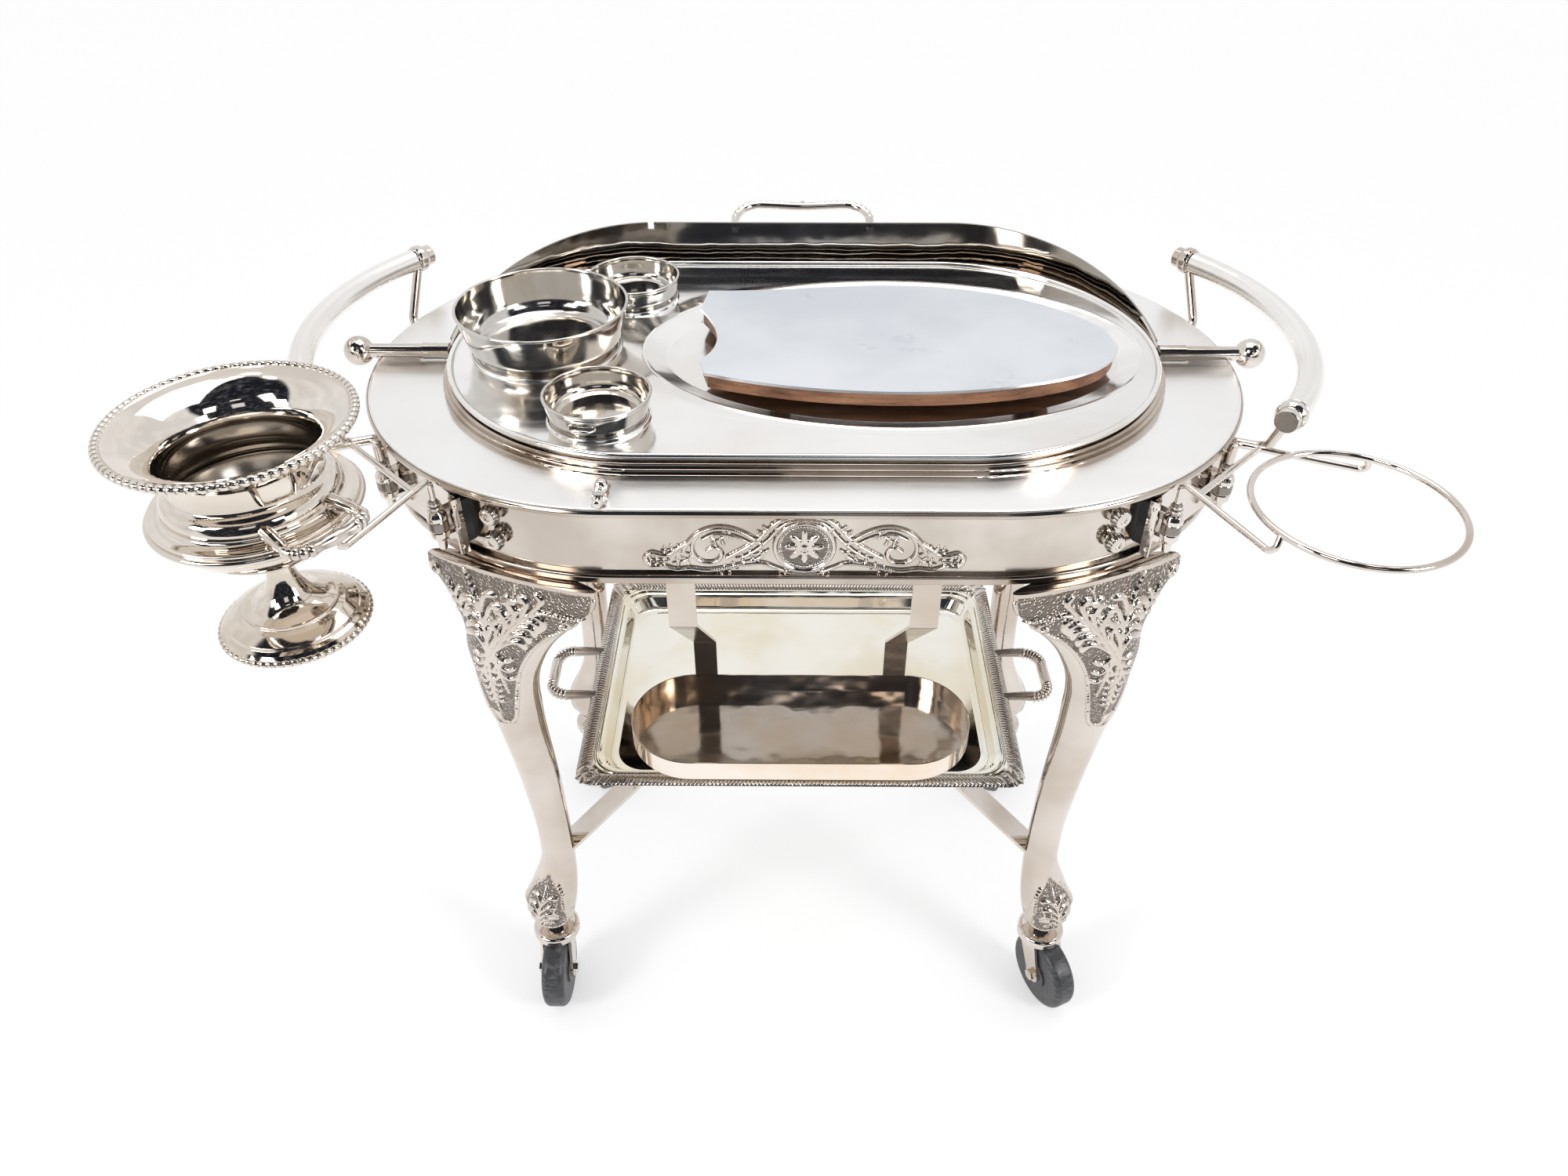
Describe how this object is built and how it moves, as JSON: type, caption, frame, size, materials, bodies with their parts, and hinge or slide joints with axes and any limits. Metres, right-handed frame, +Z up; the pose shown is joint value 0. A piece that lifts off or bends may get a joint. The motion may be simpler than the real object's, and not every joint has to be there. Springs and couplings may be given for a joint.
{
  "type": "roast carving trolley",
  "caption": "Oval roll-top roast trolley on cabriole legs with casters, carving board, bowls, ring holders, a wine cooler, a burner pan and a lower serving tray.",
  "frame": {"origin": "centre of the deck's plan, on the floor", "axes": "+X along the trolley, to the right of a person at its front; +Y away from that person, towards the side the dome rolls to; +Z up"},
  "size_m": [1.1346, 0.678, 0.945],
  "materials": {
    "deck_plate": "satin silver plate",
    "bright_plate": "polished silver plate",
    "handle_plate": "satin silver plate",
    "dome_plate": "polished silver plate",
    "bath_plate": "satin",
    "insert_metal": "polished silver plate",
    "leg_plate": "polished silver plate, toned in the recesses",
    "ring_plate": "polished silver plate",
    "urn_plate": "polished silver plate",
    "bowl_plate": "polished silver plate",
    "tray_metal": "polished silver plate",
    "relief_plate": "polished silver plate, toned in the recesses",
    "board_metal": "satin",
    "board_wood": "oiled",
    "pad_rubber": "matt",
    "caster_steel": "polished",
    "wheel_tyre": "matt"
  },
  "bodies": {
    "chassis": {"deck_flange": "deck_plate", "well_collar": "bright_plate", "water_bath": "bath_plate", "body_skirt": "deck_plate", "skirt_rim": "bright_plate", "leg_front_left": "leg_plate", "leg_front_right": "leg_plate", "leg_rear_left": "leg_plate", "leg_rear_right": "leg_plate", "stretchers": "bright_plate", "pan_hangers": "bright_plate", "trunnion_pins": "bright_plate", "trunnion_cradles": "bright_plate", "latch_keep": "bright_plate", "push_handle_left": "handle_plate", "push_handle_right": "handle_plate", "handle_fittings": "bright_plate", "handle_arms": "bright_plate", "bracket_left": "bright_plate", "bracket_right": "bright_plate", "bracket_pads": "pad_rubber", "pin_barrels_left": "bright_plate", "pin_barrels_right": "bright_plate", "bracket_screws": "bright_plate", "thumb_nuts": "relief_plate", "front_ornament": "relief_plate"},
    "lid": {"lid_shell": "dome_plate", "lid_ear_left": "bright_plate", "lid_ear_right": "bright_plate", "lid_handle": "bright_plate", "lid_screws": "bright_plate"},
    "latch": {"latch_bolt": "bright_plate"},
    "insert": {"insert_plate": "insert_metal"},
    "board": {"board_wood": "board_wood", "board_plate": "board_metal"},
    "large_bowl": {"bowl_large": "bowl_plate"},
    "front_bowl": {"bowl_small_front": "bowl_plate"},
    "rear_bowl": {"bowl_small_rear": "bowl_plate"},
    "left_ring": {"ring_frame_left": "ring_plate"},
    "right_ring": {"ring_frame_right": "ring_plate"},
    "urn": {"urn_body": "urn_plate", "urn_foot": "urn_plate", "urn_handles": "urn_plate"},
    "tray": {"tray_body": "tray_metal", "tray_border": "tray_metal", "tray_handles": "tray_metal"},
    "pan": {"burner_pan": "bath_plate"},
    "caster_front_left": {"caster_fork_front_left": "caster_steel", "caster_axle_front_left": "caster_steel"},
    "wheel_front_left": {"caster_wheel_front_left": "wheel_tyre"},
    "caster_front_right": {"caster_fork_front_right": "caster_steel", "caster_axle_front_right": "caster_steel"},
    "wheel_front_right": {"caster_wheel_front_right": "wheel_tyre"},
    "caster_rear_left": {"caster_fork_rear_left": "caster_steel", "caster_axle_rear_left": "caster_steel"},
    "wheel_rear_left": {"caster_wheel_rear_left": "wheel_tyre"},
    "caster_rear_right": {"caster_fork_rear_right": "caster_steel", "caster_axle_rear_right": "caster_steel"},
    "wheel_rear_right": {"caster_wheel_rear_right": "wheel_tyre"}
  },
  "joints": [
    {"name": "lid_hinge", "type": "hinge", "parent": "chassis", "child": "lid", "pos_m": [0, 0, 0.855], "axis": [1, 0, 0], "range_deg": [0, 169.5]},
    {"name": "latch_slide", "type": "slide", "parent": "chassis", "child": "latch", "axis": [0, 1, 0], "range_m": [0, 0.0033]},
    {"name": "insert_lift", "type": "slide", "parent": "chassis", "child": "insert", "axis": [0, 0, 1], "range_m": [0, 0.015]},
    {"name": "board_lift", "type": "slide", "parent": "insert", "child": "board", "axis": [0, 0, 1], "range_m": [0, 0.02]},
    {"name": "large_bowl_lift", "type": "slide", "parent": "insert", "child": "large_bowl", "axis": [0, 0, 1], "range_m": [0, 0.02]},
    {"name": "front_bowl_lift", "type": "slide", "parent": "insert", "child": "front_bowl", "axis": [0, 0, 1], "range_m": [0, 0.02]},
    {"name": "rear_bowl_lift", "type": "slide", "parent": "insert", "child": "rear_bowl", "axis": [0, 0, 1], "range_m": [0, 0.02]},
    {"name": "left_ring_lift", "type": "slide", "parent": "chassis", "child": "left_ring", "axis": [0, 0, 1], "range_m": [0, 0.015]},
    {"name": "right_ring_lift", "type": "slide", "parent": "chassis", "child": "right_ring", "axis": [0, 0, 1], "range_m": [0, 0.015]},
    {"name": "urn_lift", "type": "slide", "parent": "left_ring", "child": "urn", "axis": [0, 0, 1], "range_m": [0, 0.06]},
    {"name": "tray_lift", "type": "slide", "parent": "chassis", "child": "tray", "axis": [0, 0, 1], "range_m": [0, 0.038]},
    {"name": "pan_lift", "type": "slide", "parent": "chassis", "child": "pan", "axis": [0, 0, 1], "range_m": [0, 0.04]},
    {"name": "swivel_front_left", "type": "hinge", "parent": "chassis", "child": "caster_front_left", "pos_m": [-0.322, -0.19, 0.135], "axis": [0, 0, 1], "continuous": true},
    {"name": "spin_front_left", "type": "hinge", "parent": "caster_front_left", "child": "wheel_front_left", "pos_m": [-0.322, -0.214, 0.051], "axis": [1, 0, 0], "continuous": true},
    {"name": "swivel_front_right", "type": "hinge", "parent": "chassis", "child": "caster_front_right", "pos_m": [0.322, -0.19, 0.135], "axis": [0, 0, 1], "continuous": true},
    {"name": "spin_front_right", "type": "hinge", "parent": "caster_front_right", "child": "wheel_front_right", "pos_m": [0.33214, -0.21175, 0.051], "axis": [0.9063, 0.4226, 0], "continuous": true},
    {"name": "swivel_rear_left", "type": "hinge", "parent": "chassis", "child": "caster_rear_left", "pos_m": [-0.322, 0.19, 0.135], "axis": [0, 0, 1], "continuous": true},
    {"name": "spin_rear_left", "type": "hinge", "parent": "caster_rear_left", "child": "wheel_rear_left", "pos_m": [-0.31379, 0.16745, 0.051], "axis": [0.9397, 0.342, 0], "continuous": true},
    {"name": "swivel_rear_right", "type": "hinge", "parent": "chassis", "child": "caster_rear_right", "pos_m": [0.322, 0.19, 0.135], "axis": [0, 0, 1], "continuous": true},
    {"name": "spin_rear_right", "type": "hinge", "parent": "caster_rear_right", "child": "wheel_rear_right", "pos_m": [0.31579, 0.16682, 0.051], "axis": [0.9659, -0.2588, 0], "continuous": true}
  ]
}
